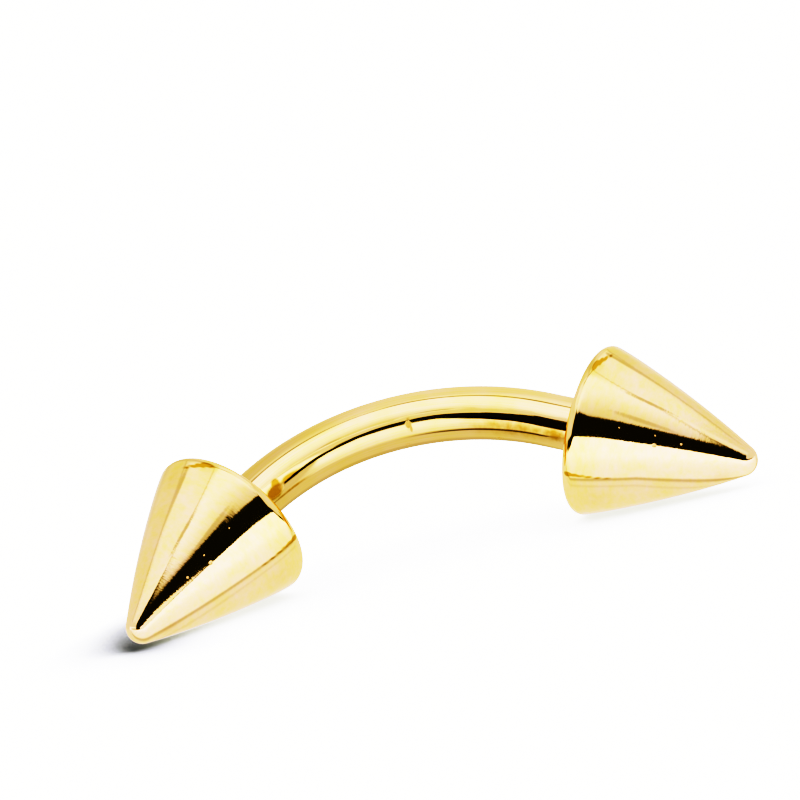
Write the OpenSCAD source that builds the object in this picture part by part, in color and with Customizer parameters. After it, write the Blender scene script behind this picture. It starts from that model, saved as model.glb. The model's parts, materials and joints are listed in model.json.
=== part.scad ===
// Curved eyebrow barbell with two screw-on spikes, lying on a table.
// Millimetres. +Z is up from the table, +X runs from the left spike to the right one.
// The origin is the middle of the footprint, at table height.

/* [Bar] */
// Diameter of the curved shaft, 16 gauge wire
bar_d = 1.2; // [1.1:0.05:1.6]
// Radius of the bow, at the middle of the wire
bow_radius = 5.85; // [5:0.05:9]
// How far the wire turns from end to end, in degrees
bow_turn = 75.8; // [40:0.2:90]
// Straight stretch between the bow and the left spike's face
straight_left = 0.1; // [0.1:0.05:1.5]
// Straight stretch between the bow and the right spike's face
straight_right = 1; // [0.1:0.05:1.5]
// How deep the full-size shaft goes into the spike's countersink
seat_depth = 0.28; // [0.1:0.02:0.3]
// Bevel on the shaft's shoulder
shoulder_bevel = 0.04; // [0.01:0.01:0.1]

/* [Threaded posts] */
// Outer diameter of the post, over its thread
post_d = 1.1; // [0.8:0.05:1.1]
// Length of the post past the shoulder
post_length = 1.5; // [0.8:0.1:1.7]
// Bevel at the post's end
post_bevel = 0.15; // [0.05:0.01:0.25]

/* [Spikes] */
// Widest diameter of a spike, at its rim
spike_d = 3.85; // [3:0.05:5]
// Length of a spike from its face to its tip
spike_length = 3.95; // [3.6:0.05:6]
// Radius of the rounded rim
rim_r = 0.2; // [0.05:0.01:0.4]
// Radius of the rounded tip
tip_r = 0.37; // [0.2:0.01:0.5]
// Radius of the slight belly along the spike's side
flank_r = 25; // [12:1:80]
// Diameter of the blind hole for the post
bore_d = 1.16; // [1.12:0.01:1.2]
// Depth of the blind hole, from the spike's face
bore_depth = 2; // [1.4:0.05:2.2]
// Mouth diameter of the countersink
sink_d = 1.9; // [1.6:0.05:2.2]

/* [How it lies] */
// Lean of the bow's plane away from upright, where the weight balances on both spikes
lie_tilt = 51.28; // [0:0.01:90]
// Turn within the bow's plane that brings both spikes down to the table
lie_roll = -3.49; // [-20:0.01:20]
// Turn about the upright that puts the spikes' faces in line with X
lie_yaw = 0.34; // [-10:0.01:10]

/* [Hidden] */

LEFT = -1;
RIGHT = 1;
facets = 96;
drill_point_angle = 59;
// The straight ends are this much slimmer than the bow, and start this far inside it,
// so that they join as one piece
join_step = 0.004;
join_overlap = 0.1;
sink_depth = (sink_d - bore_d) / 2;
end_slope = bow_turn / 2;

// Points on an arc about centre c from angle a0 to a1
function arc(c, r, a0, a1, steps) = [
    for (i = [0:steps]) let (a = a0 + (a1 - a0) * i / steps) c + r * [cos(a), sin(a)]
];

// The spike's side: the rim's round and the tip's round joined by one large circle that touches both.
// A point is [distance from the axis, height above the face].
rim_centre = [spike_d / 2 - rim_r, rim_r];
tip_centre = [0, spike_length - tip_r];
centre_gap = norm(tip_centre - rim_centre);
rim_to_tip = (tip_centre - rim_centre) / centre_gap;
along = (pow(flank_r - rim_r, 2) - pow(flank_r - tip_r, 2) + pow(centre_gap, 2)) / (2 * centre_gap);
across = sqrt(pow(flank_r - rim_r, 2) - pow(along, 2));
flank_centre = rim_centre + along * rim_to_tip - across * [rim_to_tip[1], -rim_to_tip[0]];
rim_normal = atan2(rim_centre[1] - flank_centre[1], rim_centre[0] - flank_centre[0]);
tip_normal = atan2(tip_centre[1] - flank_centre[1], tip_centre[0] - flank_centre[0]);
spike_side = concat(
    arc(rim_centre, rim_r, -90, rim_normal, 8),
    arc(flank_centre, flank_r, rim_normal, tip_normal, 12),
    arc(tip_centre, tip_r, tip_normal, 90, 8)
);

// Where the bow stands before it is laid down: its plane is XZ and the crown is at the origin.
function straight(side) = side == LEFT ? straight_left : straight_right;
function end_dir(side) = [side * cos(end_slope), 0, -sin(end_slope)];
function bow_point(a) = bow_radius * [sin(a), 0, cos(a) - 1];
function seat(side) = bow_point(side * end_slope) + straight(side) * end_dir(side);

// The turn that lays it down, as one matrix
lay = [[cos(lie_yaw), -sin(lie_yaw), 0], [sin(lie_yaw), cos(lie_yaw), 0], [0, 0, 1]]
    * [[1, 0, 0], [0, cos(lie_tilt), sin(lie_tilt)], [0, -sin(lie_tilt), cos(lie_tilt)]]
    * [[cos(lie_roll), 0, sin(lie_roll)], [0, 1, 0], [-sin(lie_roll), 0, cos(lie_roll)]];

// How far the laid-down barbell reaches along a unit vector
function spike_reach(side, v) = let (c = (lay * end_dir(side)) * v)
    (lay * seat(side)) * v + max([for (p = spike_side) p[1] * c + p[0] * sqrt(1 - c * c)]);
function bow_reach(v) = bar_d / 2
    + max([for (i = [-20:20]) (lay * bow_point(end_slope * i / 20)) * v]);
function reach(v) = max(spike_reach(LEFT, v), spike_reach(RIGHT, v), bow_reach(v));
footprint_middle = [
    (reach([1, 0, 0]) - reach([-1, 0, 0])) / 2,
    (reach([0, 1, 0]) - reach([0, -1, 0])) / 2
];
table_drop = reach([0, 0, -1]);

// Lays its children on the table
module lying() {
    translate([-footprint_middle[0], -footprint_middle[1], table_drop])
        rotate([-lie_tilt, 0, lie_yaw])
            rotate([0, lie_roll, 0])
                children();
}

// Puts +Z of its children along one end of the wire, from a point that far before the spike's face
module at_end(side, before = 0) {
    translate(seat(side) - before * end_dir(side))
        rotate([0, side * (90 + end_slope), 0])
            children();
}

// Straight end, shoulder and post as one turned piece that starts just inside the bow
module bar_end(side) {
    shaft_r = bar_d / 2 - join_step;
    shoulder = straight(side) + seat_depth;
    tip = shoulder + post_length;
    at_end(side, straight(side))
        rotate_extrude($fn = facets)
            polygon([
                [0, -join_overlap],
                [shaft_r, -join_overlap],
                [shaft_r, shoulder - shoulder_bevel],
                [shaft_r - shoulder_bevel, shoulder],
                [post_d / 2, shoulder],
                [post_d / 2, tip - post_bevel],
                [post_d / 2 - post_bevel, tip],
                [0, tip]
            ]);
}

// Curved shaft with a post at each end, one piece of wire
module bar() {
    color("gold")
        lying() {
            translate([0, 0, -bow_radius])
                rotate([90, 0, 0])
                    rotate([0, 0, 90 - end_slope])
                        rotate_extrude(angle = bow_turn, $fn = facets)
                            translate([bow_radius, 0])
                                circle(d = bar_d, $fn = facets);
            for (side = [LEFT, RIGHT])
                bar_end(side);
        }
}

// Turned spike with a countersunk blind hole in its face
module spike(side) {
    color("gold")
        lying()
            at_end(side)
                rotate_extrude($fn = facets)
                    polygon(concat(
                        [
                            [0, bore_depth + bore_d / 2 / tan(drill_point_angle)],
                            [bore_d / 2, bore_depth],
                            [bore_d / 2, sink_depth],
                            [sink_d / 2, 0]
                        ],
                        spike_side
                    ));
}

module spike_left() {
    spike(LEFT);
}

module spike_right() {
    spike(RIGHT);
}

bar();
spike_left();
spike_right();
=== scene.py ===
import math

import bpy
import numpy as np
from mathutils import Matrix, Vector
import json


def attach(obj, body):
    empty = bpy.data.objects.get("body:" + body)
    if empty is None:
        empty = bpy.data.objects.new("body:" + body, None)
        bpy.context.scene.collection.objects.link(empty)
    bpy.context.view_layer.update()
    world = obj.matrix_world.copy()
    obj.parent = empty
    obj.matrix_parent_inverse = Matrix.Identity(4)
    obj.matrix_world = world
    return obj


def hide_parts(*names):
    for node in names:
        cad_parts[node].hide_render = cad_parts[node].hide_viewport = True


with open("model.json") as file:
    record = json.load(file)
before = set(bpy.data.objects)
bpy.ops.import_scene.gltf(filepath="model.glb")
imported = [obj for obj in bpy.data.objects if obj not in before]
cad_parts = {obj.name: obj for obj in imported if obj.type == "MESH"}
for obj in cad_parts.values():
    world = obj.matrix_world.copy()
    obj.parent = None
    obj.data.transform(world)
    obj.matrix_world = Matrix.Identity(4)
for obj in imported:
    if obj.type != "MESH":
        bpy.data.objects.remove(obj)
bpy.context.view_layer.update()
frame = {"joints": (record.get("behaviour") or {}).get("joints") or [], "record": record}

# The bar is one length of 1.2 mm surgical steel wire, bent into a bow, polished and gold plated.
# Each end is turned down to a post with a rolled thread, and a spike screws onto it until its
# countersink closes over the bar's shoulder.
MM = 0.001
BAR_R = 0.6 * MM
BOW_R = 5.85 * MM
STRAIGHT = {"left": 0.1 * MM, "right": 1.0 * MM}
SEAT_DEPTH = 0.28 * MM
SHOULDER_BEVEL = 0.04 * MM
POST_R = 0.55 * MM
POST_LENGTH = 1.5 * MM
POST_BEVEL = 0.15 * MM
THREAD_PITCH = 0.25 * MM
THREAD_DEPTH = 0.12 * MM
THREAD_RUN_OUT = 0.2 * MM
BEVEL_RINGS = 6
END_RINGS = 4
BOW_RINGS = 260
PITCH_RINGS = 14
BAR_SIDES = 96

joint_axis = {j["child"]: np.array(j["axis"], float) for j in frame["joints"]}
left_dir = joint_axis["spike_left"]
right_dir = joint_axis["spike_right"]
mount_pos = {m["name"]: np.array(m["pos_m"], float) for m in frame["record"]["mounts"]}
crown = mount_pos["shaft_in_piercing"]


def unit(v):
    """A vector, or each row of an array of them, divided by its length."""
    return v / np.linalg.norm(v, axis=-1, keepdims=True)


# The bow's own directions: bow_x along its crown to the right, bow_z out of its convex side.
bow_x = unit(right_dir - left_dir)
bow_z = -unit(right_dir + left_dir)
bow_y = np.cross(bow_z, bow_x)
half_turn = math.acos(min(1.0, float(right_dir @ bow_x)))
half_bow = BOW_R * half_turn
SEAT_AT = {"left": -half_bow - STRAIGHT["left"], "right": half_bow + STRAIGHT["right"]}


def wire_frame(along):
    """Middle of the wire, outward normal and tangent at lengths measured from the crown to the right:
    a circle of BOW_R up to half_bow on each side, and straight on along its tangent past that."""
    turn = np.clip(along / BOW_R, -half_turn, half_turn)[..., None]
    past = along[..., None] - BOW_R * turn
    outward = np.sin(turn) * bow_x + np.cos(turn) * bow_z
    tangent = np.cos(turn) * bow_x - np.sin(turn) * bow_z
    return crown + BOW_R * (outward - bow_z) + past * tangent, outward, tangent


def thread_height(along, turn, depth):
    """Height of a screw thread over its root: a triangle wave of along / pitch less the share of a turn."""
    phase = (along / THREAD_PITCH - turn / (2 * math.pi)) % 1.0
    return depth * (1 - np.abs(2 * phase - 1))


def smooth(edge0, edge1, x):
    """0 below edge0, 1 above edge1 and 3t2 - 2t3 between them."""
    t = np.clip((x - edge0) / (edge1 - edge0), 0, 1)
    return t * t * (3 - 2 * t)


def ring_angles(sides):
    """Angles of a ring's points, one turn without its last point."""
    return np.linspace(0, 2 * math.pi, sides, endpoint=False)


def ends_closed(rings):
    """Points of all the rings in one list, with the first and the last ring as one point each."""
    return np.concatenate([rings[0, :1], rings[1:-1].reshape(-1, 3), rings[-1, :1]])


def closed_skin(name, points, on_lathe):
    """Mesh object of rings of points, an array (rings, sides, 3) that closes on itself round each ring.
    The first and the last ring lie on the axis, so each becomes one point. on_lathe gives each point's
    place as the piece lay on its lathe, in millimetres with X along the axis, for the marks of polishing."""
    rings, sides = points.shape[:2]
    inner = np.arange((rings - 2) * sides).reshape(rings - 2, sides) + 1
    last = inner[-1, -1] + 1
    after = np.roll(inner, -1, axis=1)
    quads = np.stack([inner[:-1], inner[1:], after[1:], after[:-1]], axis=-1).reshape(-1, 4)
    start_fan = np.stack([np.zeros(sides, int), inner[0], after[0]], axis=-1)
    end_fan = np.stack([np.full(sides, last), after[-1], inner[-1]], axis=-1)
    faces = quads.tolist() + start_fan.tolist() + end_fan.tolist()
    mesh = bpy.data.meshes.new(name)
    mesh.from_pydata(ends_closed(points).tolist(), [], faces)
    place = mesh.attributes.new("on_lathe", "FLOAT_VECTOR", "POINT")
    place.data.foreach_set("vector", (ends_closed(on_lathe) / MM).astype(np.float32).ravel())
    mesh.shade_smooth()
    mesh.update()
    piece = bpy.data.objects.new(name, mesh)
    bpy.context.scene.collection.objects.link(piece)
    return piece


def post_profile():
    """Distance past the shoulder and radius, from the shoulder's bevel to the middle of the post's end."""
    bevel = ring_angles(4 * BEVEL_RINGS)[:BEVEL_RINGS + 1]
    shoulder = np.stack([
        SHOULDER_BEVEL * (np.sin(bevel) - 1),
        BAR_R - SHOULDER_BEVEL * (1 - np.cos(bevel)),
    ], axis=-1)
    steps = int(POST_LENGTH / THREAD_PITCH * PITCH_RINGS)
    post = np.linspace(0.0, POST_LENGTH, steps)
    post_r = np.minimum(POST_R, POST_R - POST_BEVEL + (POST_LENGTH - post))
    end_r = np.linspace(1.0, 0.0, END_RINGS + 1)[1:] * post_r[-1]
    end = np.stack([np.full(END_RINGS, POST_LENGTH), end_r], axis=-1)
    return np.concatenate([shoulder, np.stack([post, post_r], axis=-1), end])


profile = post_profile()
shoulder_at = {side: at + math.copysign(SEAT_DEPTH, at) for side, at in SEAT_AT.items()}
left_end = (shoulder_at["left"] - profile[:, 0])[::-1]
right_end = shoulder_at["right"] + profile[:, 0]
along = np.concatenate([left_end, np.linspace(left_end[-1], right_end[0], BOW_RINGS)[1:-1], right_end])
radius = np.concatenate([profile[::-1, 1], np.full(BOW_RINGS - 2, BAR_R), profile[:, 1]])
turn = ring_angles(BAR_SIDES)
past_shoulder = np.maximum(along - shoulder_at["right"], shoulder_at["left"] - along)[:, None]
threaded = smooth(0, THREAD_RUN_OUT, past_shoulder)
root = THREAD_DEPTH - thread_height(along[:, None], turn, THREAD_DEPTH)
radius = np.minimum(radius[:, None], POST_R + (BAR_R - POST_R) * (past_shoulder <= 0) - threaded * root)
middle, outward, tangent = wire_frame(along)
across = np.cos(turn)[:, None] * outward[:, None] + np.sin(turn)[:, None] * bow_y
bar_lathe = np.stack([
    np.broadcast_to(along[:, None], radius.shape),
    radius * np.cos(turn),
    radius * np.sin(turn),
], axis=-1)
bar = closed_skin("curved_bar", middle[:, None] + radius[..., None] * across, bar_lathe)
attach(bar, "bar")
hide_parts("bar")


def add_node(tree, kind, inputs=(), **settings):
    """New node. inputs are pairs of a socket's name or number and a value or another node's output."""
    node = tree.nodes.new(kind)
    for setting, value in settings.items():
        setattr(node, setting, value)
    for socket, value in inputs:
        if isinstance(value, bpy.types.NodeSocket):
            tree.links.new(value, node.inputs[socket])
        else:
            node.inputs[socket].default_value = value
    return node


def calc(tree, operation, *values):
    """Output of a Math node."""
    return add_node(tree, "ShaderNodeMath", enumerate(values), operation=operation).outputs[0]


def vector_calc(tree, operation, *values):
    """Output of a Vector Math node: a vector, or a number for LENGTH."""
    node = add_node(tree, "ShaderNodeVectorMath", enumerate(values), operation=operation)
    return node.outputs["Value" if operation == "LENGTH" else "Vector"]


def scaled(tree, vector, factor):
    """A vector times a number."""
    return add_node(
        tree, "ShaderNodeVectorMath", [("Vector", vector), ("Scale", factor)], operation="SCALE"
    ).outputs["Vector"]


def soft_edge(tree, value, edge, softness):
    """0 below an edge and 1 above it, with a smooth change over softness to each side."""
    return add_node(
        tree, "ShaderNodeMapRange",
        [("Value", value), ("From Min", edge - softness), ("From Max", edge + softness)],
        interpolation_type="SMOOTHSTEP",
    ).outputs[0]


def blended(tree, mask, where_0, where_1):
    """A number that goes from where_0 to where_1 as the mask goes from 0 to 1."""
    return add_node(
        tree, "ShaderNodeMix", [("Factor", mask), ("A", where_0), ("B", where_1)], data_type="FLOAT"
    ).outputs[0]


def group_tree(name, inputs, outputs):
    """Empty shader node group with its sockets, and its Group Input and Group Output nodes."""
    tree = bpy.data.node_groups.new(name, "ShaderNodeTree")
    for direction, sockets in (("INPUT", inputs), ("OUTPUT", outputs)):
        for socket, kind in sockets:
            tree.interface.new_socket(name=socket, in_out=direction, socket_type="NodeSocket" + kind)
    return tree, tree.nodes.new("NodeGroupInput"), tree.nodes.new("NodeGroupOutput")


def polish_marks_group():
    """Fine parallel scratches of polishing, as a height from 0 to 1. Along and Round are how many there
    are in a millimetre along the lathe's axis and in a radian round it: they run along the lower one."""
    tree, given, put_out = group_tree(
        "polish_marks", [("Place", "Vector"), ("Along", "Float"), ("Round", "Float")], [("Height", "Float")]
    )
    place = add_node(tree, "ShaderNodeSeparateXYZ", [(0, given.outputs["Place"])])
    radial = add_node(tree, "ShaderNodeCombineXYZ", [(1, place.outputs[1]), (2, place.outputs[2])]).outputs[0]
    spread = scaled(tree, vector_calc(tree, "NORMALIZE", radial), given.outputs["Round"])
    axial = calc(tree, "MULTIPLY", place.outputs[0], given.outputs["Along"])
    where = vector_calc(
        tree, "ADD", add_node(tree, "ShaderNodeCombineXYZ", [(0, axial)]).outputs[0], spread
    )
    noise = add_node(
        tree, "ShaderNodeTexNoise",
        [("Vector", where), ("Scale", 1.0), ("Detail", 2.0), ("Roughness", 0.6)],
    )
    tree.links.new(noise.outputs[0], put_out.inputs["Height"])
    return tree


def pits_group():
    """Small round pits, 1 in a pit's middle and 0 outside: the points of a Voronoi pattern with Density
    cells to a millimetre, of which only those whose random colour is over Rarity become pits."""
    tree, given, put_out = group_tree(
        "pits",
        [("Place", "Vector"), ("Density", "Float"), ("Rarity", "Float"), ("Size", "Float")],
        [("Mask", "Float")],
    )
    cells = add_node(
        tree, "ShaderNodeTexVoronoi",
        [("Vector", given.outputs["Place"]), ("Scale", given.outputs["Density"])],
    )
    chosen = calc(tree, "GREATER_THAN", cells.outputs["Color"], given.outputs["Rarity"])
    apart = calc(tree, "DIVIDE", cells.outputs["Distance"], given.outputs["Density"])
    near = add_node(
        tree, "ShaderNodeMapRange",
        [("Value", apart), ("From Max", given.outputs["Size"]), ("To Min", 1.0), ("To Max", 0.0)],
        interpolation_type="SMOOTHSTEP",
    ).outputs[0]
    tree.links.new(calc(tree, "MULTIPLY", chosen, near), put_out.inputs["Mask"])
    return tree


def nick_group():
    """One dent, 1 in its middle and 0 outside an ellipsoid of the given half sizes."""
    tree, given, put_out = group_tree(
        "nick", [("Place", "Vector"), ("Middle", "Vector"), ("Half Size", "Vector")], [("Mask", "Float")]
    )
    off = vector_calc(tree, "SUBTRACT", given.outputs["Place"], given.outputs["Middle"])
    reach = vector_calc(tree, "LENGTH", vector_calc(tree, "DIVIDE", off, given.outputs["Half Size"]))
    near = add_node(
        tree, "ShaderNodeMapRange", [("Value", reach), ("To Min", 1.0), ("To Max", 0.0)],
        interpolation_type="SMOOTHSTEP",
    ).outputs[0]
    tree.links.new(near, put_out.inputs["Mask"])
    return tree


def plating_group():
    """Tone of the gold layer: slow patches and the Grain of the polishing, a shade yellower or pinker, the
    pinker one where Pale is high, and brown where the fourth input is 1, for tarnish and for painted shade."""
    tree, given, put_out = group_tree(
        "plating",
        [("Place", "Vector"), ("Grain", "Float"), ("Dirt", "Float"), ("Pale", "Float")],
        [("Color", "Color")],
    )
    patches = add_node(
        tree, "ShaderNodeTexNoise",
        [("Vector", given.outputs["Place"]), ("Scale", PATCH_SCALE), ("Detail", 3.0)],
    )
    tone = calc(tree, "MULTIPLY_ADD", given.outputs["Grain"], *TONE_OF_GRAIN)
    tone = calc(tree, "ADD", calc(tree, "MULTIPLY_ADD", patches.outputs[0], *TONE_OF_PATCHES), tone)
    tone = calc(tree, "MINIMUM", calc(tree, "MAXIMUM", tone, 0.0), 1.0)
    tone = calc(tree, "ADD", tone, given.outputs["Pale"])
    layer = add_node(
        tree, "ShaderNodeMix", [("Factor", tone), ("A", GOLD_YELLOW), ("B", GOLD_PINK)], data_type="RGBA",
        clamp_factor=False,
    )
    tarnished = add_node(
        tree, "ShaderNodeMix",
        [("Factor", given.outputs["Dirt"]), ("A", layer.outputs["Result"]), ("B", TARNISH_AND_PAINTED_SHADE)],
        data_type="RGBA",
    )
    tree.links.new(tarnished.outputs["Result"], put_out.inputs["Color"])
    return tree


GOLD_YELLOW = (0.96, 0.63, 0.21, 1.0)
GOLD_PINK = (1.0, 0.62, 0.33, 1.0)
GOLD_EDGE = (1.0, 0.92, 0.76, 1.0)
# Brown for tarnish, also used for painted shade and painted reflection
TARNISH_AND_PAINTED_SHADE = (0.46, 0.23, 0.04, 1.0)
SEEN_BY_PAPER = (0.38, 0.38, 0.38, 1.0)
TORN_ROUGHNESS = 0.7
TORN_GAIN = 3.0
SMOOTHEST = 0.03
CLOUDIEST = 0.07
CLOUD_SCALE = 0.9
CLOUD_LOW = 0.35
CLOUD_HIGH = 0.7
# A tone is 0 for the yellower gold and 1 for the pinker one, and each part of it has a slope and an
# offset. Sizes are in millimetres, and scales and densities are counts in a millimetre
PATCH_SCALE = 1.3
TONE_OF_GRAIN = (1.6, -0.8)
TONE_OF_PATCHES = (1.8, -0.4)
PALE_FROM = (1.0, 0.6)
PIT_DENSITY = 2.2
PIT_RARITY = 0.86
PIT_SIZE = 0.045
PIT_DEPTH = 0.004
RAGGED_SCALE = 6.0
RAGGED_GAIN = 2.0
polish_marks = polish_marks_group()
pits = pits_group()
nick = nick_group()
plating = plating_group()


def use_group(tree, group, **inputs):
    """A shader node group with its inputs linked or set. An underscore stands for a space in their names."""
    node = add_node(tree, "ShaderNodeGroup", node_tree=group)
    for socket, value in inputs.items():
        target = node.inputs[socket.replace("_", " ")]
        if isinstance(value, bpy.types.NodeSocket):
            tree.links.new(value, target)
        else:
            target.default_value = value
    return node


def gold_material(name, paler, marks, nicks, tarnish_and_painted_shade_patches):
    """Polished gold plating, paler by a share of its two tones past a height of 1 mm. marks are pairs of
    polish marks and their depth in millimetres, and the last of them are the plating's grain. nicks are
    middle, half size and depth, all in millimetres. The brown patches, tarnish and in places painted shade
    and painted reflection, are middle, half size and how brown."""
    material = bpy.data.materials.new(name)
    material.use_nodes = True
    tree = material.node_tree
    shader = tree.nodes["Principled BSDF"]
    shader.inputs["Metallic"].default_value = 1.0
    shader.inputs["Specular Tint"].default_value = GOLD_EDGE
    place = add_node(tree, "ShaderNodeAttribute", attribute_name="on_lathe").outputs["Vector"]
    dirt_and_painted_shade = use_group(
        tree, pits, Place=place, Density=PIT_DENSITY, Rarity=PIT_RARITY, Size=PIT_SIZE
    ).outputs["Mask"]
    height = calc(tree, "MULTIPLY", dirt_and_painted_shade, -PIT_DEPTH)
    for (along_marks, round_marks), depth in marks:
        lines = use_group(tree, polish_marks, Place=place, Along=along_marks, Round=round_marks)
        height = calc(tree, "MULTIPLY_ADD", lines.outputs["Height"], depth, height)
        grain = lines.outputs["Height"]
    torn = 0.0
    for middle, half_size, depth in nicks:
        dent = use_group(tree, nick, Place=place, Middle=middle, Half_Size=half_size).outputs["Mask"]
        height = calc(tree, "MULTIPLY_ADD", dent, -depth, height)
        torn = calc(tree, "MAXIMUM", torn, dent)
    ragged = add_node(
        tree, "ShaderNodeTexNoise", [("Vector", place), ("Scale", RAGGED_SCALE), ("Detail", 4.0)]
    )
    ragged = calc(tree, "MULTIPLY", ragged.outputs[0], RAGGED_GAIN)
    # Brown patches, cut ragged by noise: tarnish, and in places painted shade and painted reflection
    for middle, half_size, strength in tarnish_and_painted_shade_patches:
        patch = use_group(tree, nick, Place=place, Middle=middle, Half_Size=half_size).outputs["Mask"]
        patch = calc(tree, "MULTIPLY", calc(tree, "MULTIPLY", patch, ragged), strength)
        dirt_and_painted_shade = calc(tree, "ADD", dirt_and_painted_shade, patch)
    dirt_and_painted_shade = calc(tree, "MINIMUM", dirt_and_painted_shade, 1.0)
    height_mm = add_node(tree, "ShaderNodeSeparateXYZ", [(0, place)]).outputs[0]
    pale = calc(tree, "MULTIPLY", soft_edge(tree, height_mm, *PALE_FROM), paler)
    colour = use_group(tree, plating, Place=place, Grain=grain, Dirt=dirt_and_painted_shade, Pale=pale).outputs["Color"]
    on_paper = add_node(tree, "ShaderNodeLightPath").outputs["Is Diffuse Ray"]
    colour = add_node(
        tree, "ShaderNodeMix", [("Factor", on_paper), ("A", colour), ("B", SEEN_BY_PAPER)], data_type="RGBA"
    ).outputs["Result"]
    tree.links.new(colour, shader.inputs["Base Color"])
    cloudy = add_node(
        tree, "ShaderNodeTexNoise", [("Vector", place), ("Scale", CLOUD_SCALE), ("Detail", 4.0)]
    )
    roughness = add_node(
        tree, "ShaderNodeMapRange",
        [
            ("Value", cloudy.outputs[0]), ("From Min", CLOUD_LOW), ("From Max", CLOUD_HIGH),
            ("To Min", SMOOTHEST), ("To Max", CLOUDIEST),
        ],
    )
    torn = calc(tree, "MINIMUM", calc(tree, "MULTIPLY", torn, TORN_GAIN), 1.0)
    tree.links.new(blended(tree, torn, roughness.outputs[0], TORN_ROUGHNESS), shader.inputs["Roughness"])
    bump = add_node(tree, "ShaderNodeBump", [("Height", height), ("Distance", MM), ("Strength", 1.0)])
    tree.links.new(bump.outputs[0], shader.inputs["Normal"])
    return material


def on_lathe_at(along_mm, radius_mm, degrees):
    """Place on a lathe, in millimetres, of a point at a radius and an angle round its axis."""
    a = math.radians(degrees)
    return (along_mm, radius_mm * math.cos(a), radius_mm * math.sin(a))


def on_wire(along_mm, degrees):
    """Place on the bar's lathe, in millimetres, of a point on the wire's surface."""
    return on_lathe_at(along_mm, BAR_R / MM, degrees)


bar.data.materials.append(gold_material(
    "bar_gold",
    0.0,
    [((0.5, 16.0), 0.0008)],
    [
        (on_wire(0.68, 220), (0.095, 0.12, 0.12), 0.006),
        (on_wire(0.735, 209), (0.04, 0.07, 0.14), 0.005),
        (on_wire(0.58, 170), (0.09, 0.03, 0.03), 0.006),
        (on_wire(2.86, 165), (0.11, 0.03, 0.03), 0.006),
        (on_wire(3.49, 149), (0.07, 0.03, 0.03), 0.006),
        (on_wire(-3.05, 218), (0.36, 0.16, 0.16), 0.002),
    ],
    # Brown patches: by the left joint a painted reflection, the reflected dark line running on in brown;
    # under the left end and at the right end painted shade; by the nick a brown rim.
    [
        (on_wire(-3.10, 217), (0.32, 0.20, 0.20), 2.5),
        (on_wire(-2.93, 232), (0.16, 0.12, 0.12), 2.0),
        (on_wire(-2.55, 223), (0.50, 0.10, 0.10), 1.5),
        (on_wire(-2.60, 198), (0.80, 0.05, 0.05), 1.0),
        (on_wire(-4.10, 190), (2.40, 0.60, 0.60), 0.25),
        (on_wire(3.30, 201), (2.00, 0.36, 0.36), 0.7),
        (on_wire(4.30, 201), (0.35, 0.22, 0.22), 1.0),
        (on_wire(0.70, 233), (0.07, 0.025, 0.025), 0.6),
        (on_wire(0.69, 214), (0.10, 0.18, 0.18), 0.25),
    ],
))

# Each spike is a cone turned from the same steel, with a rounded rim and tip, polished and gold plated.
# A countersunk blind hole with the matching thread goes into its flat face.
SPIKE_R = 1.925 * MM
SPIKE_LENGTH = 3.95 * MM
RIM_R = 0.2 * MM
TIP_R = 0.37 * MM
FLANK_R = 25 * MM
BORE_R = 0.58 * MM
BORE_DEPTH = 2.0 * MM
BORE_THREAD_DEPTH = 0.08 * MM
DRILL_POINT = 59
SINK_R = 0.95 * MM
EDGE_R = 0.03 * MM
RIM_EASE = 0.042 * MM
RIM_EASE_HEIGHT = 1.0 * MM
SINK_DEPTH = SINK_R - BORE_R
RIM_RINGS = 33
FLANK_RINGS = 90
TIP_RINGS = 29
DRILL_RINGS = 8
SINK_RINGS = 10
LIP_RINGS = 7
FACE_RINGS = 10
SPIKE_SIDES = 192
# Angle in degrees that the right spike's marks are counted back from
MARKS_MIRROR = 179


def arc(centre, radius, start, end, steps):
    """Points [distance from the axis, height] on an arc between two angles in radians."""
    a = np.linspace(start, end, steps)
    return np.array(centre) + radius * np.stack([np.cos(a), np.sin(a)], axis=-1)


def spike_flank():
    """Rim, side and tip: the rim's and the tip's rounds joined by one circle of FLANK_R that touches both.
    Polishing has eased the side towards the rim, by RIM_EASE times the cube of how near the face it is."""
    rim = np.array([SPIKE_R - RIM_R, RIM_R])
    tip = np.array([0.0, SPIKE_LENGTH - TIP_R])
    gap = np.linalg.norm(tip - rim)
    towards_tip = (tip - rim) / gap
    to_middle = ((FLANK_R - RIM_R) ** 2 - (FLANK_R - TIP_R) ** 2 + gap**2) / (2 * gap)
    off_line = math.sqrt((FLANK_R - RIM_R) ** 2 - to_middle**2)
    centre = rim + to_middle * towards_tip - off_line * np.array([towards_tip[1], -towards_tip[0]])
    rim_end = math.atan2(*(rim - centre)[::-1])
    tip_start = math.atan2(*(tip - centre)[::-1])
    outline = np.concatenate([
        arc(rim, RIM_R, -math.pi / 2, rim_end, RIM_RINGS),
        arc(centre, FLANK_R, rim_end, tip_start, FLANK_RINGS)[1:],
        arc(tip, TIP_R, tip_start, math.pi / 2, TIP_RINGS)[1:],
    ])
    ease = np.clip(1 - outline[:, 1] / RIM_EASE_HEIGHT, 0, 1) ** 3
    return outline - np.stack([RIM_EASE * ease, np.zeros_like(ease)], axis=-1)


def on_flank(along_mm, degrees):
    """Place on a spike's lathe, in millimetres, of a point on its side."""
    outline = spike_flank() / MM
    return on_lathe_at(along_mm, float(np.interp(along_mm, outline[:, 1], outline[:, 0])), degrees)


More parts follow.
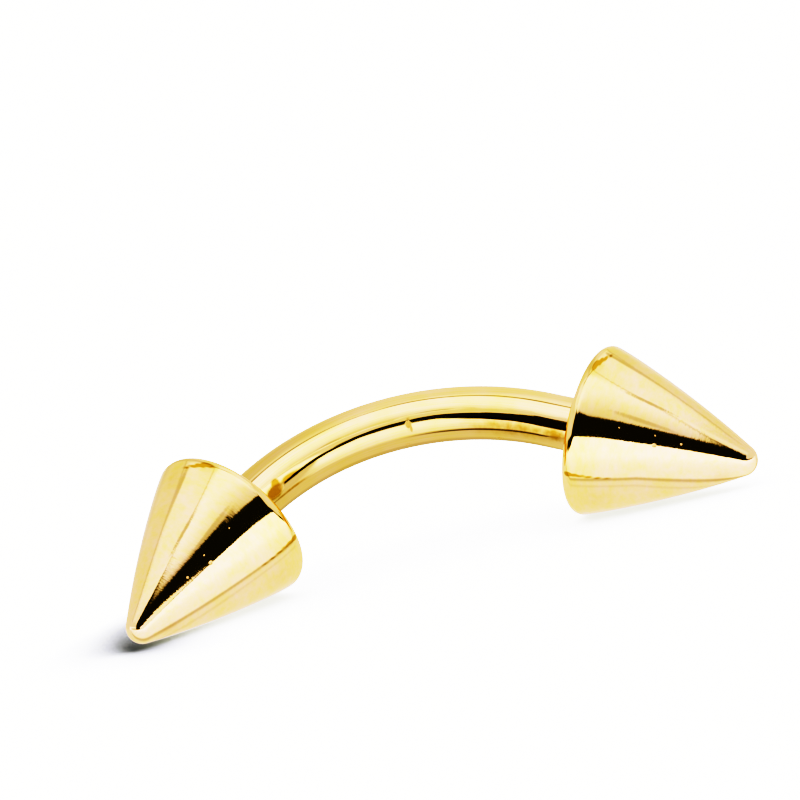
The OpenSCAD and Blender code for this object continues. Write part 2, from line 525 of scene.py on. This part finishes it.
def spike_profile():
    """Outline from the bottom of the drilled hole, over the countersink and the face, to the tip. The
    countersink's cone, at 45 degrees, and the face are joined by a lip of radius EDGE_R that touches both."""
    drill_tip = BORE_DEPTH + BORE_R / math.tan(math.radians(DRILL_POINT))
    wall_rings = int((BORE_DEPTH - SINK_DEPTH) / THREAD_PITCH * PITCH_RINGS)
    cone = np.linspace([0.0, drill_tip], [BORE_R, BORE_DEPTH], DRILL_RINGS)
    wall = np.linspace([BORE_R, BORE_DEPTH], [BORE_R, SINK_DEPTH], wall_rings)[1:]
    lip_reach = EDGE_R * math.tan(math.pi / 8)
    sink_end = SINK_R - lip_reach * math.sqrt(0.5)
    sink = np.linspace([BORE_R, SINK_DEPTH], [sink_end, SINK_R - sink_end], SINK_RINGS)[1:-1]
    lip = arc([SINK_R + lip_reach, EDGE_R], EDGE_R, -3 * math.pi / 4, -math.pi / 2, LIP_RINGS)
    flank = spike_flank()
    face = np.linspace(lip[-1], flank[0], FACE_RINGS)[1:-1]
    return np.concatenate([cone, wall, sink, lip, face, flank])


def spike(side):
    """Spike with its face at the bar's seat and its axis along the end of the wire. The right one's marks
    are the left one's mirror image."""
    outline = spike_profile()
    turn = ring_angles(SPIKE_SIDES)
    radius = np.broadcast_to(outline[:, :1], (len(outline), SPIKE_SIDES))
    height = outline[:, 1:]
    in_bore = (outline[:, :1] == BORE_R) * smooth(SINK_DEPTH, SINK_DEPTH + THREAD_RUN_OUT, height)
    in_bore = in_bore * smooth(-BORE_DEPTH, THREAD_RUN_OUT - BORE_DEPTH, -height)
    radius = radius + in_bore * thread_height(height, turn, BORE_THREAD_DEPTH)
    seat, outward, tangent = wire_frame(np.array(SEAT_AT[side]))
    along = tangent * math.copysign(1, SEAT_AT[side])
    beside = np.cross(outward, along)
    across = np.cos(turn)[:, None] * outward + np.sin(turn)[:, None] * beside
    marks_turn = turn - math.pi if side == "left" else math.radians(MARKS_MIRROR) - turn
    on_lathe = np.stack([
        np.broadcast_to(height, radius.shape),
        radius * np.cos(marks_turn),
        radius * np.sin(marks_turn),
    ], axis=-1)
    points = seat + height[..., None] * along + radius[..., None] * across
    piece = closed_skin("turned_" + side + "_spike", points, on_lathe)
    piece.data.materials.append(spike_gold)
    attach(piece, "spike_" + side)
    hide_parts("spike_" + side)
    return piece


spike_gold = gold_material(
    "spike_gold",
    0.35,
    [((30.0, 2.0), 0.0003), ((9.0, 6.0), 0.0009)],
    [
        (on_flank(2.45, 303.5), (0.034, 0.032, 0.032), 0.004),
        (on_flank(1.90, 301), (0.024, 0.022, 0.022), 0.003),
        (on_flank(1.15, 302), (0.022, 0.020, 0.020), 0.003),
        (on_flank(1.92, 311), (0.06, 0.045, 0.045), 0.004),
    ],
    [
        # Brown patches: the ring on the face is painted shade for the brown seen by the left joint; the
        # dashes and the chain by the rim and four wide faint patches darken the tone.
        ((0.0, 0.0, 0.0), (0.16, 1.25, 1.25), 0.7),
        (on_flank(0.24, 260.5), (0.07, 0.26, 0.14), 4.0),
        (on_flank(0.30, 255.0), (0.06, 0.24, 0.14), 2.0),
        (on_flank(0.35, 249.5), (0.05, 0.24, 0.14), 1.6),
        (on_flank(0.40, 244.0), (0.05, 0.20, 0.14), 1.0),
        (on_flank(0.20, 342.0), (0.12, 0.08, 0.08), 3.5),
        (on_flank(0.33, 342.5), (0.18, 0.07, 0.06), 2.0),
        (on_flank(0.48, 343.2), (0.20, 0.07, 0.06), 1.4),
        (on_flank(0.64, 344.0), (0.22, 0.07, 0.05), 1.2),
        (on_flank(0.82, 344.8), (0.26, 0.07, 0.05), 0.9),
        (on_flank(1.02, 345.4), (0.28, 0.07, 0.05), 0.6),
        (on_flank(0.30, 262.0), (0.25, 0.35, 0.20), 0.18),
        (on_flank(0.60, 232.0), (0.60, 0.50, 0.50), 0.12),
        (on_flank(0.75, 368.0), (0.60, 0.60, 0.60), 0.10),
        (on_flank(3.30, 358.0), (0.60, 0.25, 0.25), 0.20),
    ],
)
spikes = [spike(side) for side in ("left", "right")]

# The studio: a sheet of white paper under a white tent, with a dark gap in front where the lens looks in.
# The paper shows white to the lens, with a painted contact shadow by the left tip, and to the metal it glows,
# dimmer with painted shade where the barbell would shade it.
FLOOR_SIZE = 4000 * MM
PAPER_EXPOSURE = 3.2
PAPER_BLUE = 0.70
SHADE_REACH = 2.5 * MM
SHADE_POWER = 9.0
SHADE_BLUE = 0.80
SHADE_SAMPLES = 8
SHADE_END_X = (-6.0, 1.5)
PAPER_DIM = 0.70
MIDDLE_AZIMUTH = 8.0
FRONT_REACH = {"middle": 50.0, "beside": 16.0}
FRONT_SOFTNESS = 2.0
BESIDE_MIDDLE = (26.0, 8.0)
END_OF_FRONT = (75.0, 15.0)
scene = bpy.context.scene
paper_mesh = bpy.data.meshes.new("paper")
half = FLOOR_SIZE / 2
paper_mesh.from_pydata(
    [(-half, -half, 0), (half, -half, 0), (half, half, 0), (-half, half, 0)], [], [(0, 1, 2, 3)]
)
paper = bpy.data.objects.new("paper", paper_mesh)
scene.collection.objects.link(paper)


def within(tree, value, low, high, softness):
    """1 between two edges and 0 outside them."""
    past_high = soft_edge(tree, value, high, softness)
    return calc(tree, "SUBTRACT", soft_edge(tree, value, low, softness), past_high)


def floor_place(tree):
    """x and y on the floor, in millimetres."""
    place = add_node(tree, "ShaderNodeTexCoord").outputs["Object"]
    return add_node(tree, "ShaderNodeSeparateXYZ", [(0, scaled(tree, place, 1 / MM))]).outputs[:2]


def past_front_edge(tree, x, y):
    """1 in front of the lit paper's end, which is farther off in the middle than to both sides of it."""
    facing = calc(tree, "DEGREES", calc(tree, "ARCTAN2", x, calc(tree, "MULTIPLY", y, -1.0)))
    off_middle = calc(tree, "ABSOLUTE", calc(tree, "SUBTRACT", facing, MIDDLE_AZIMUTH))
    reach = calc(tree, "SQRT", calc(tree, "MULTIPLY_ADD", x, x, calc(tree, "MULTIPLY", y, y)))
    beside = soft_edge(tree, off_middle, *BESIDE_MIDDLE)
    edge = blended(tree, beside, FRONT_REACH["middle"], FRONT_REACH["beside"])
    past = soft_edge(tree, calc(tree, "SUBTRACT", reach, edge), 0.0, FRONT_SOFTNESS)
    in_front = calc(tree, "SUBTRACT", 1.0, soft_edge(tree, off_middle, *END_OF_FRONT))
    return calc(tree, "MULTIPLY", past, in_front)


def paper_material():
    """White paper: matt to the lens, with a painted contact shadow by the left tip, and to the metal a dim
    glow that ends at the paper's front edge."""
    material = bpy.data.materials.new("white_paper")
    material.use_nodes = True
    tree = material.node_tree
    tree.nodes.clear()
    x, y = floor_place(tree)
    glow = blended(tree, past_front_edge(tree, x, y), PAPER_DIM, 0.0)
    for_metal = add_node(tree, "ShaderNodeEmission", [("Strength", glow)])
    # Painted contact shadow: occlusion, raised to a power, darkens the paper's colour left of SHADE_END_X.
    open_above = add_node(
        tree, "ShaderNodeAmbientOcclusion", [("Distance", SHADE_REACH)], samples=SHADE_SAMPLES
    )
    shade = calc(tree, "POWER", open_above.outputs["AO"], SHADE_POWER)
    shade = blended(tree, soft_edge(tree, x, *SHADE_END_X), shade, 1.0)
    blue = calc(tree, "MULTIPLY", calc(tree, "POWER", shade, SHADE_BLUE), PAPER_BLUE)
    colour = add_node(tree, "ShaderNodeCombineXYZ", [(0, shade), (1, shade), (2, blue)]).outputs[0]
    matt = add_node(tree, "ShaderNodeBsdfDiffuse", [("Color", scaled(tree, colour, PAPER_EXPOSURE))])
    seen = add_node(tree, "ShaderNodeLightPath").outputs["Is Camera Ray"]
    either = add_node(
        tree, "ShaderNodeMixShader", [(0, seen), (1, for_metal.outputs[0]), (2, matt.outputs[0])]
    )
    add_node(tree, "ShaderNodeOutputMaterial", [("Surface", either.outputs[0])])
    return material


def glow_card(name, points, faces, lit_pieces, strength_of):
    """A card that only glows, and only for the pieces named: nothing else sees it or is shaded by it."""
    mesh = bpy.data.meshes.new(name)
    mesh.from_pydata(points, [], faces)
    card = bpy.data.objects.new(name, mesh)
    scene.collection.objects.link(card)
    card.visible_camera = card.visible_shadow = card.visible_diffuse = False
    linked = bpy.data.collections.new(name + "_lights")
    for piece in lit_pieces:
        linked.objects.link(piece)
    card.light_linking.receiver_collection = linked
    material = bpy.data.materials.new(name)
    material.use_nodes = True
    tree = material.node_tree
    tree.nodes.clear()
    glow = add_node(tree, "ShaderNodeEmission", [("Strength", strength_of(tree))])
    clear = add_node(tree, "ShaderNodeBsdfTransparent")
    both = add_node(tree, "ShaderNodeAddShader", [(0, glow.outputs[0]), (1, clear.outputs[0])])
    add_node(tree, "ShaderNodeOutputMaterial", [("Surface", both.outputs[0])])
    mesh.materials.append(material)
    return card


# What the paper gives to each piece on top of its dim glow, as painted light and painted shade. The spikes
# see it bright in front of a line where a painted shade of their own ends, which bends back at the right,
# with a painted dark line along it and a less dark one behind. The bar sees it bright in front of a line
# nearer to it and left of a slanting one, with a painted dark spot behind and painted shade far behind and
# at the left front. Places are in millimetres, and a pair is an edge and its softness, or two edges.
SPIKES_BRIGHT = {"near": 0.65, "far": 1.25}
SPIKES_SHADED = 0.35
SPIKES_EDGE_Y = -1.97
SPIKES_EDGE_SOFTNESS = 0.1
SPIKES_EDGE_BEND_X = 4.3
SPIKES_EDGE_SLOPE = 0.27
SPIKES_FAR = (1.8, 1.8)
SPIKES_LINES = (
    {"light": 0.12, "behind_edge": (0.38, 0.46)},
    {"light": -0.1, "behind_edge": (-0.06, 0.12)},
)
LINE_SOFTNESS = 0.08
BAR_BRIGHT = {"near": 0.5, "far": 0.95}
BAR_EDGE_Y = -0.7
BAR_EDGE_SOFTNESS = 0.15
BAR_FAR = (2.4, 2.2)
BAR_SLANT = {"slope": 1.53, "offset": 0.83, "edge": (0.1, 0.6)}
BAR_BEHIND = {"light": -0.2, "behind_edge": (2.8, 0.5)}
BAR_SPOT = {"light": -0.6, "behind_edge": (0.0, 0.55), "x": (0.06, 0.75), "softness": 0.1}
BAR_LEFT_FRONT = {"slope": -0.115, "x": (-2.8, 1.0), "y": (-12.3, 1.5)}
SHEET_HALF = 60
SHEET_HEIGHT = {"spikes": 0.004, "bar": 0.006}
# A limit so far off that it stands for none, in millimetres or in degrees
FAR_OFF = 90.0


def spikes_painted_light(tree):
    """Painted light and painted shade that the paper adds for the spikes."""
    x, y = floor_place(tree)
    past_bend = calc(tree, "MAXIMUM", calc(tree, "SUBTRACT", x, SPIKES_EDGE_BEND_X), 0.0)
    edge_y = calc(tree, "MULTIPLY_ADD", past_bend, SPIKES_EDGE_SLOPE, SPIKES_EDGE_Y)
    behind_edge = calc(tree, "SUBTRACT", y, edge_y)
    far = soft_edge(tree, calc(tree, "MULTIPLY", behind_edge, -1.0), *SPIKES_FAR)
    bright = blended(tree, far, SPIKES_BRIGHT["near"], SPIKES_BRIGHT["far"])
    shaded = soft_edge(tree, behind_edge, 0.0, SPIKES_EDGE_SOFTNESS)
    glow = blended(tree, shaded, bright, SPIKES_SHADED)
    for line in SPIKES_LINES:
        on_line = within(tree, behind_edge, *line["behind_edge"], LINE_SOFTNESS)
        glow = blended(tree, on_line, glow, line["light"])
    return blended(tree, past_front_edge(tree, x, y), glow, 0.0)


def bar_painted_light(tree):
    """Painted light and painted shade that the paper adds for the bar. A negative one takes away from the dim
    glow.
    """
    x, y = floor_place(tree)
    behind_edge = calc(tree, "SUBTRACT", y, BAR_EDGE_Y)
    far = soft_edge(tree, calc(tree, "MULTIPLY", behind_edge, -1.0), *BAR_FAR)
    bright = blended(tree, far, BAR_BRIGHT["near"], BAR_BRIGHT["far"])
    right_of_slant = calc(tree, "MULTIPLY_ADD", x, BAR_SLANT["slope"], y)
    right_of_slant = calc(tree, "ADD", right_of_slant, BAR_SLANT["offset"])
    bright = blended(tree, soft_edge(tree, right_of_slant, *BAR_SLANT["edge"]), bright, 0.0)
    glow = blended(tree, soft_edge(tree, behind_edge, 0.0, BAR_EDGE_SOFTNESS), bright, 0.0)
    behind = soft_edge(tree, behind_edge, *BAR_BEHIND["behind_edge"])
    glow = blended(tree, behind, glow, BAR_BEHIND["light"])
    spot_y = within(tree, behind_edge, *BAR_SPOT["behind_edge"], BAR_SPOT["softness"])
    spot_x = within(tree, x, *BAR_SPOT["x"], BAR_SPOT["softness"])
    glow = blended(tree, calc(tree, "MULTIPLY", spot_y, spot_x), glow, BAR_SPOT["light"])
    slanting_x = calc(tree, "MULTIPLY_ADD", y, BAR_LEFT_FRONT["slope"], x)
    left = within(tree, slanting_x, -FAR_OFF, *BAR_LEFT_FRONT["x"])
    front = within(tree, y, -FAR_OFF, *BAR_LEFT_FRONT["y"])
    glow = blended(tree, calc(tree, "MULTIPLY", left, front), glow, -PAPER_DIM)
    return blended(tree, past_front_edge(tree, x, y), glow, 0.0)


def sheet(name, height_mm, lit_pieces, strength_of):
    """Glowing card the size of the lit paper, just above it, with painted light and painted shade."""
    corners = [
        (x * SHEET_HALF * MM, y * SHEET_HALF * MM, height_mm * MM)
        for x, y in ((-1, -1), (1, -1), (1, 1), (-1, 1))
    ]
    return glow_card(name, corners, [(0, 1, 2, 3)], lit_pieces, strength_of)


paper_mesh.materials.append(paper_material())
sheet("painted_light_for_spikes", SHEET_HEIGHT["spikes"], spikes, spikes_painted_light)
sheet("painted_light_for_bar", SHEET_HEIGHT["bar"], [bar], bar_painted_light)

# The tent: brightest high in front, with seams between its panels, dimmer behind and open at the front.
# A pair is an edge and its softness, and three numbers are two edges and a softness, all in degrees.
LIGHT_AHEAD = {"low": 0.85, "high": 1.65}
AHEAD_HIGH = (40.0, 18.0)
LIGHT_BESIDE = {"low": 0.9, "high": 1.3}
BESIDE_FROM = (58.0, 8.0)
BESIDE_HIGH = (2.0, 3.0)
LIGHT_BEHIND = {"low": 1.0, "right": 0.95, "left": 0.66, "far_left": 0.9}
BEHIND_FROM = (140.0, 8.0)
BEHIND_LEFT = (180.0, 10.0)
BEHIND_FAR_LEFT = (202.0, 8.0)
BEHIND_HIGH = (4.0, 10.0)
# Elevation of the side panels' edge, and the azimuth from which it falls and its slope
PANEL_EDGE = 42.0
PANEL_EDGE_FALL = (88.0, 0.22)
PANEL_SEAM = (-0.8, 0.8, 1.2)
PANEL_SEAM_FROM = (95.0, 10.0)
# Slope against the elevation and offset of the two seams in front
SEAM_LEFT = (0.83, 5.6)
SEAM_RIGHT = (1.5, -8.5)
SEAM = (-1.0, 1.0, 2.0)
SEAM_LIGHT = 0.62
# The seam overhead, across the direction's own Y from -1 to 1
TOP_SEAM = (-0.03, 0.06, 0.04)
TOP_SEAM_FROM = (72.0, 5.0)
TOP_SEAM_LIGHT = 0.3
# Azimuth, elevation and both half sizes of the dim patches on the panels. SMUDGE_EDGE is how far out
# they end, as the square of a share of those half sizes
SMUDGES = (
    (-50, 52, 7, 3), (64, 48, 6, 3), (-6, 32, 6, 4), (24, 29, 5, 5), (-122, 45, 9, 4), (134, 35, 9, 4)
)
SMUDGE_EDGE = (0.55, 0.5)
SMUDGE_LIGHT = 0.62
# The gap's top rises with the square of the angle from its middle, and by a step on the left
GAP_LIGHT = 0.012
GAP_MIDDLE = 12.0
GAP_HEIGHT = 22.0
GAP_STEP = 4.5
GAP_STEP_AT = (8.0, 3.0)
GAP_RISE = {"left": 0.0065, "right": 0.0122}
FRINGE_LIGHT = 0.5
FRINGE_HEIGHT = (-9.0, 2.5, 2.5)
FRINGE_SIDES = (-40.0, 8.0, 8.0)
PEAK_TOP = (-FAR_OFF, 0.0, 1.2)
PEAK_LEFT = (-48.0, FAR_OFF, 3.0)
PEAK_RIGHT = (-FAR_OFF, 30.5, 2.0)
# Elevation from which each side of the peak leans to the right, and its slope
PEAK_LEFT_LEAN = (12.0, 0.14)
PEAK_RIGHT_LEAN = (14.0, 0.75)
LOW_GAP_TOP = 11.5
LOW_GAP_SOFTNESS = 2.0
LOW_GAP_FALL = 0.25
LOW_GAP_SIDES = (-85.0, 52.0, 9.0)
SKY_EXPOSURE = 5.0
world = bpy.data.worlds.new("tent")
scene.world = world
world.use_nodes = True
tree = world.node_tree
background = tree.nodes["Background"]
direction = add_node(tree, "ShaderNodeTexCoord").outputs["Generated"]
xyz = add_node(tree, "ShaderNodeSeparateXYZ", [(0, direction)]).outputs
elevation = calc(tree, "DEGREES", calc(tree, "ARCSINE", xyz[2]))
azimuth = calc(tree, "DEGREES", calc(tree, "ARCTAN2", xyz[0], calc(tree, "MULTIPLY", xyz[1], -1.0)))
off_middle = calc(tree, "ABSOLUTE", calc(tree, "SUBTRACT", azimuth, MIDDLE_AZIMUTH))


def over(value, start, slope):
    """Slope times how far a value is over a start, and 0 before it."""
    return calc(tree, "MULTIPLY", calc(tree, "MAXIMUM", calc(tree, "SUBTRACT", value, start), 0.0), slope)


def smudge(light, middle_azimuth, middle_elevation, half_azimuth, half_elevation):
    """A light with a soft dim patch in it."""
    off_a = calc(tree, "DIVIDE", calc(tree, "SUBTRACT", azimuth, middle_azimuth), half_azimuth)
    off_e = calc(tree, "DIVIDE", calc(tree, "SUBTRACT", elevation, middle_elevation), half_elevation)
    reach = calc(tree, "MULTIPLY_ADD", off_a, off_a, calc(tree, "MULTIPLY", off_e, off_e))
    return blended(tree, soft_edge(tree, reach, *SMUDGE_EDGE), SMUDGE_LIGHT, light)


def panels(ahead, over_edge):
    """Light of all panels, from that of the ones ahead and the height over the side panels' edge."""
    high = soft_edge(tree, over_edge, *BESIDE_HIGH)
    beside = blended(tree, high, LIGHT_BESIDE["low"], LIGHT_BESIDE["high"])
    from_front = calc(tree, "WRAP", azimuth, 360.0, 0.0)
    left = soft_edge(tree, from_front, *BEHIND_LEFT)
    behind = blended(tree, left, LIGHT_BEHIND["right"], LIGHT_BEHIND["left"])
    far_left = soft_edge(tree, from_front, *BEHIND_FAR_LEFT)
    behind = blended(tree, far_left, behind, LIGHT_BEHIND["far_left"])
    behind = blended(tree, soft_edge(tree, elevation, *BEHIND_HIGH), LIGHT_BEHIND["low"], behind)
    light = blended(tree, soft_edge(tree, off_middle, *BESIDE_FROM), ahead, beside)
    return blended(tree, soft_edge(tree, off_middle, *BEHIND_FROM), light, behind)


def with_seams(light, over_edge):
    """The panels' light with the dim seams between them."""
    off_left = calc(tree, "ADD", azimuth, calc(tree, "MULTIPLY_ADD", elevation, *SEAM_LEFT))
    off_right = calc(tree, "SUBTRACT", azimuth, calc(tree, "MULTIPLY_ADD", elevation, *SEAM_RIGHT))
    for off_seam in (off_left, off_right):
        light = blended(tree, within(tree, off_seam, *SEAM), light, SEAM_LIGHT)
    panel_seam = within(tree, over_edge, *PANEL_SEAM)
    panel_seam = calc(tree, "MULTIPLY", panel_seam, soft_edge(tree, off_middle, *PANEL_SEAM_FROM))
    light = blended(tree, panel_seam, light, SEAM_LIGHT)
    top_seam = within(tree, xyz[1], *TOP_SEAM)
    top_seam = calc(tree, "MULTIPLY", top_seam, soft_edge(tree, elevation, *TOP_SEAM_FROM))
    return blended(tree, top_seam, light, TOP_SEAM_LIGHT)


def over_gap_top():
    """How far an elevation is over the gap's top."""
    to_left = calc(tree, "MAXIMUM", calc(tree, "SUBTRACT", GAP_MIDDLE, azimuth), 0.0)
    step = calc(tree, "MULTIPLY", soft_edge(tree, to_left, *GAP_STEP_AT), GAP_STEP)
    left_rise = calc(tree, "MULTIPLY_ADD", calc(tree, "POWER", to_left, 2.0), GAP_RISE["left"], step)
    to_right = calc(tree, "MAXIMUM", calc(tree, "SUBTRACT", azimuth, GAP_MIDDLE), 0.0)
    right_rise = calc(tree, "MULTIPLY", calc(tree, "POWER", to_right, 2.0), GAP_RISE["right"])
    top = calc(tree, "ADD", calc(tree, "ADD", left_rise, right_rise), GAP_HEIGHT)
    return calc(tree, "SUBTRACT", elevation, top)


def dark_gap(over_top):
    """1 in the gap: a peak under its top, and a low part that reaches farther to both sides."""
    right_side = calc(tree, "SUBTRACT", azimuth, over(elevation, *PEAK_RIGHT_LEAN))
    left_side = calc(tree, "SUBTRACT", azimuth, over(elevation, *PEAK_LEFT_LEAN))
    peak = calc(tree, "MULTIPLY", within(tree, over_top, *PEAK_TOP), within(tree, left_side, *PEAK_LEFT))
    peak = calc(tree, "MULTIPLY", peak, within(tree, right_side, *PEAK_RIGHT))
    over_low_gap = calc(tree, "ADD", elevation, over(azimuth, GAP_MIDDLE, LOW_GAP_FALL))
    low_gap = within(tree, over_low_gap, -FAR_OFF, LOW_GAP_TOP, LOW_GAP_SOFTNESS)
    low_gap = calc(tree, "MULTIPLY", low_gap, within(tree, azimuth, *LOW_GAP_SIDES))
    return calc(tree, "MAXIMUM", peak, low_gap)


ahead_high = soft_edge(tree, elevation, *AHEAD_HIGH)
ahead = blended(tree, ahead_high, LIGHT_AHEAD["low"], LIGHT_AHEAD["high"])
panel_edge = calc(tree, "SUBTRACT", PANEL_EDGE, over(azimuth, *PANEL_EDGE_FALL))
over_panel_edge = calc(tree, "SUBTRACT", elevation, panel_edge)
light = with_seams(panels(ahead, over_panel_edge), over_panel_edge)
for patch in SMUDGES:
    light = smudge(light, *patch)
over_top = over_gap_top()
fringe = within(tree, over_top, *FRINGE_HEIGHT)
fringe = calc(tree, "MULTIPLY", fringe, within(tree, azimuth, *FRINGE_SIDES))
light = blended(tree, fringe, light, FRINGE_LIGHT)
light = blended(tree, dark_gap(over_top), light, GAP_LIGHT)
seen = add_node(tree, "ShaderNodeLightPath").outputs["Is Camera Ray"]
background.inputs["Color"].default_value = (1, 1, 1, 1)
tree.links.new(blended(tree, seen, light, SKY_EXPOSURE), background.inputs["Strength"])

# A strip light in the gap's upper part, which only the bar sees, keeps the bar's dark line thin. Two
# small white cards, low in the gap and at its left side, light the left spike alone. The corners of the
# cards are azimuths and elevations.
CARD_DISTANCE = 400 * MM
STRIP_LIGHT = 0.85
STRIP_OVERLAP = 2.5
STRIP_FROM, STRIP_TO = -44.0, 60.0
STRIP_STEPS = 104
# The lower edge rises by STRIP_STEP between these two azimuths, counted to the left of the front
STRIP_STEP = 2.5
STRIP_STEP_AT = (-6.0, 2.0)
STRIP_LEFT_FROM = -15
STRIP_LEFT_RISE = 0.03
STRIP_RIGHT_FROM = 43
STRIP_RIGHT_FALL = 1.4
TIP_CARD_LIGHT = 1.3
TIP_CARD = ((-21, 0), (12, 0), (9, 2), (6, 4.3), (3, 6.8), (-1.5, 10.3), (-5, 13), (-13, 17), (-21, 10))
SIDE_CARD_LIGHT = 0.85
SIDE_CARD = ((-100, -1), (-46, -1), (-49, 7), (-52, 14), (-100, 14))


def looking_back(azimuth_deg, elevation_deg):
    """Unit vector from the barbell towards an azimuth, from the front to the right, and an elevation."""
    a, e = math.radians(azimuth_deg), math.radians(elevation_deg)
    return Vector((math.sin(a) * math.cos(e), -math.cos(a) * math.cos(e), math.sin(e)))


def strip_edges(azimuth_deg):
    """Elevations of the strip's lower and upper edge: the lower one rises by a step left of the middle
    and steeply at the left end, and falls to the right, and the upper one is a little over the gap's."""
    left_of = max(GAP_MIDDLE - azimuth_deg, 0)
    right_of = max(azimuth_deg - GAP_MIDDLE, 0)
    left_rise = STRIP_LEFT_RISE * min(azimuth_deg - STRIP_LEFT_FROM, 0) ** 2
    right_fall = STRIP_RIGHT_FALL * max(azimuth_deg - STRIP_RIGHT_FROM, 0)
    lower = LOW_GAP_TOP + left_rise - LOW_GAP_FALL * right_of - right_fall
    lower += STRIP_STEP * float(smooth(*STRIP_STEP_AT, -azimuth_deg))
    step_edge, step_softness = GAP_STEP_AT
    step = GAP_STEP * float(smooth(step_edge - step_softness, step_edge + step_softness, left_of))
    upper = GAP_HEIGHT + step + GAP_RISE["left"] * left_of**2 + GAP_RISE["right"] * right_of**2
    return lower, max(lower, upper + STRIP_OVERLAP)


strip_points = [
    looking_back(a, e) * CARD_DISTANCE
    for a in np.linspace(STRIP_FROM, STRIP_TO, STRIP_STEPS + 1) for e in strip_edges(a)
]
strip_faces = [(2 * i, 2 * i + 2, 2 * i + 3, 2 * i + 1) for i in range(STRIP_STEPS)]
glow_card("strip", strip_points, strip_faces, [bar], lambda tree: STRIP_LIGHT)
for name, corners, brightness in (
    ("tip_card", TIP_CARD, TIP_CARD_LIGHT), ("side_card", SIDE_CARD, SIDE_CARD_LIGHT)
):
    card_points = [looking_back(a, e) * CARD_DISTANCE for a, e in corners]
    glow_card(name, card_points, [tuple(range(len(corners)))], spikes[:1], lambda tree: brightness)

# The camera looks at the middle of the barbell with a long lens, a little above the floor and rolled.
# FILM has, for red, green and blue, the light that its film shows at about half brightness and how steep
# it is there.
AIM = Vector((0.0534, 1.4495, 3.3608)) * MM
DISTANCE = 250 * MM
ELEVATION = 9.6053
AZIMUTH = -4.0412
ROLL = math.radians(13.8864)
LENS = 507.18
SENSOR = 36.0
CLIP_START = 10 * MM
FILM_WHITE = 4.0
FILM = ((0.41, 2.1), (0.41, 2.1), (0.39, 2.78))
FILM_LIGHTS = (0.05, 0.1, 0.16, 0.24, 0.34, 0.48, 0.68, 1.0, 1.5, 2.3)
back = looking_back(AZIMUTH, ELEVATION)
camera_data = bpy.data.cameras.new("camera")
camera_data.lens = LENS
camera_data.sensor_width = SENSOR
camera_data.clip_start = CLIP_START
camera = bpy.data.objects.new("camera", camera_data)
scene.collection.objects.link(camera)
turned = (back.to_track_quat("Z", "Y").to_matrix() @ Matrix.Rotation(-ROLL, 3, "Z")).to_4x4()
camera.matrix_world = Matrix.Translation(AIM + back * DISTANCE) @ turned
scene.camera = camera


def film(light, middle, slope):
    """Brightness of a print: (light / middle) ** slope over one plus itself, and 1 at FILM_WHITE."""
    shown = (light / middle) ** slope
    white = (FILM_WHITE / middle) ** slope
    return shown / (1 + shown) * (1 + white) / white


view = scene.view_settings
view.view_transform = "Standard"
view.use_curve_mapping = True
view.curve_mapping.white_level = (FILM_WHITE,) * 3
for curve, (middle, slope) in zip(view.curve_mapping.curves, FILM):
    for light in FILM_LIGHTS:
        curve.points.new(light / FILM_WHITE, film(light, middle, slope))
view.curve_mapping.update()
